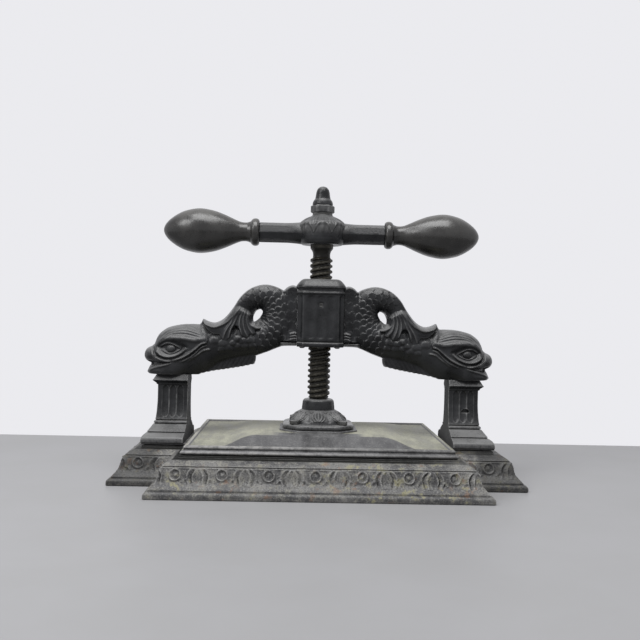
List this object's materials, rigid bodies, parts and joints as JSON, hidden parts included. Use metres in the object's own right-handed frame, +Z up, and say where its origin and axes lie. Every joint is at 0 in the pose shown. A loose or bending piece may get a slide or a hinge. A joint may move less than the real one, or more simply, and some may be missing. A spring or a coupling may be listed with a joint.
{
  "type": "copying press",
  "caption": "Cast-iron screw copying press with a moulded bed, dolphin arms on fluted pillars, a bar handle with pear grips and a sliding platen.",
  "frame": {"origin": "middle of the footprint on the table, on the screw's axis", "axes": "+X to the right along the handle, +Y to the back, +Z up along the screw"},
  "size_m": [0.47, 0.298, 0.3493],
  "materials": {
    "black_iron": "black-leaded cast iron with worn grey edges",
    "smooth_iron": "turned and handled iron, nearly black with a soft shine",
    "worn_iron": "dull grey iron with dust, rust and traces of old paint",
    "platen_iron": "dull olive-grey iron with streaks",
    "screw_steel": "brown-black oiled steel",
    "dark_steel": "dark oxidised steel",
    "bronze": "dull bronze"
  },
  "bodies": {
    "frame": {"bed": "worn_iron", "left_pillar": "black_iron", "right_pillar": "black_iron", "left_dolphin": "black_iron", "right_dolphin": "black_iron", "crosshead": "black_iron", "crosshead_cap": "black_iron", "arm_studs": "dark_steel", "screw_nut": "bronze", "nut_flange_screws": "dark_steel", "nut_set_screw": "dark_steel", "tie_rods": "dark_steel", "tie_nuts": "dark_steel", "tie_washers": "dark_steel"},
    "platen": {"platen": "platen_iron", "platen_bell": "black_iron", "bell_bolts": "dark_steel", "thrust_disc": "bronze", "split_collar": "dark_steel"},
    "spindle": {"press_screw": "screw_steel", "handle": "black_iron", "left_grip": "smooth_iron", "right_grip": "smooth_iron", "acorn_nut": "black_iron", "handle_washer": "dark_steel"}
  },
  "joints": [
    {"name": "platen_lift", "type": "slide", "parent": "frame", "child": "platen", "axis": [0, 0, 1], "range_m": [0, 0.0567]},
    {"name": "screw_turn", "type": "hinge", "parent": "platen", "child": "spindle", "pos_m": [0, 0, 0.09], "axis": [0, 0, 1], "range_deg": [0, 1530]}
  ],
  "couplings": [
    {"joint": "platen_lift", "follows": "screw_turn", "m_per_rad": 0.0021199}
  ]
}
